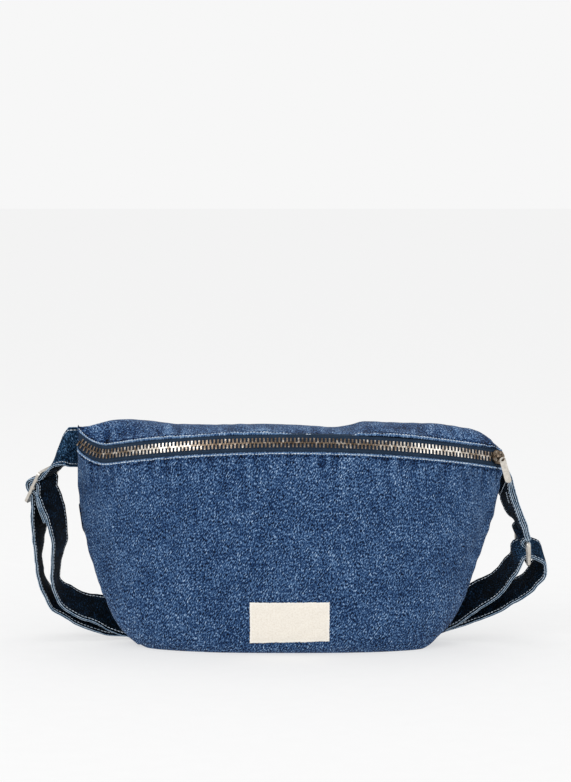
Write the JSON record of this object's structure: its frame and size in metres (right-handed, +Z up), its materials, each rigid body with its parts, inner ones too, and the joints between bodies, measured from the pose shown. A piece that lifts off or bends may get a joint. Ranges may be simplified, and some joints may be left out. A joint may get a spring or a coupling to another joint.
{
  "type": "waist pack",
  "caption": "Soft denim waist pack with a curved metal zip along its front top edge, a sewn blank label, and a denim waist strap with a tri-glide adjuster and a rectangular ring.",
  "frame": {"origin": "middle of the flat patch of the base that the bag stands on, midway between its side seams", "axes": "+X to the wearer's left of the standing bag as seen from the front (right in the front view), -Y out of the front panel, +Z up"},
  "size_m": [0.4183, 0.1082, 0.1796],
  "materials": {
    "denim": "washed mid-blue twill",
    "strap_denim": "folded and topstitched denim, dark inside",
    "lining": "plain woven cotton",
    "zip_tape": "dark slate-blue woven tape",
    "zip_metal": "antique brass",
    "nickel": "satin nickel",
    "label_canvas": "cream cotton canvas"
  },
  "bodies": {
    "bag": {"front_panel": "denim", "top_panel": "denim", "back_panel": "denim", "lining_front": "lining", "lining_top": "lining", "lining_back": "lining", "zip_tape_lower": "zip_tape", "zip_tape_upper": "zip_tape", "zip_teeth_lower": "zip_metal", "zip_teeth_upper": "zip_metal", "label": "label_canvas", "strap_root": "strap_denim", "tab_root": "strap_denim"},
    "zip_slider": {"zip_slider": "zip_metal"},
    "zip_pull": {"zip_link": "zip_metal", "zip_pull": "nickel"},
    "strap_loop": {"strap_upper": "strap_denim", "strap_outer_run": "strap_denim", "strap_inner_run": "strap_denim", "ring_tab": "strap_denim"},
    "triglide": {"triglide": "nickel", "strap_weave": "strap_denim", "strap_end": "strap_denim"},
    "ring": {"ring": "nickel"}
  },
  "joints": [
    {"name": "zip_slide", "type": "hinge", "parent": "bag", "child": "zip_slider", "pos_m": [0, 0.23315, 0.06676], "axis": [0, -0.342, -0.9397], "range_deg": [0, 61]},
    {"name": "zip_pull_swing", "type": "hinge", "parent": "zip_slider", "child": "zip_pull", "pos_m": [0.16829, -0.00328, 0.15282], "axis": [-0.8312, -0.5224, 0.1902], "range_deg": [0, 150]},
    {"name": "strap_swing", "type": "hinge", "parent": "bag", "child": "strap_loop", "pos_m": [0, 0.012, 0.152], "axis": [1, 0, 0], "range_deg": [0, 90]},
    {"name": "triglide_slide", "type": "slide", "parent": "strap_loop", "child": "triglide", "axis": [-0.4067, 0.3352, -0.8499], "range_m": [0, 0.0095]},
    {"name": "ring_swivel", "type": "hinge", "parent": "strap_loop", "child": "ring", "pos_m": [0.1907, 0.004, 0.0805], "axis": [0.1805, -0.9226, -0.341], "range_deg": [0, 5]}
  ]
}
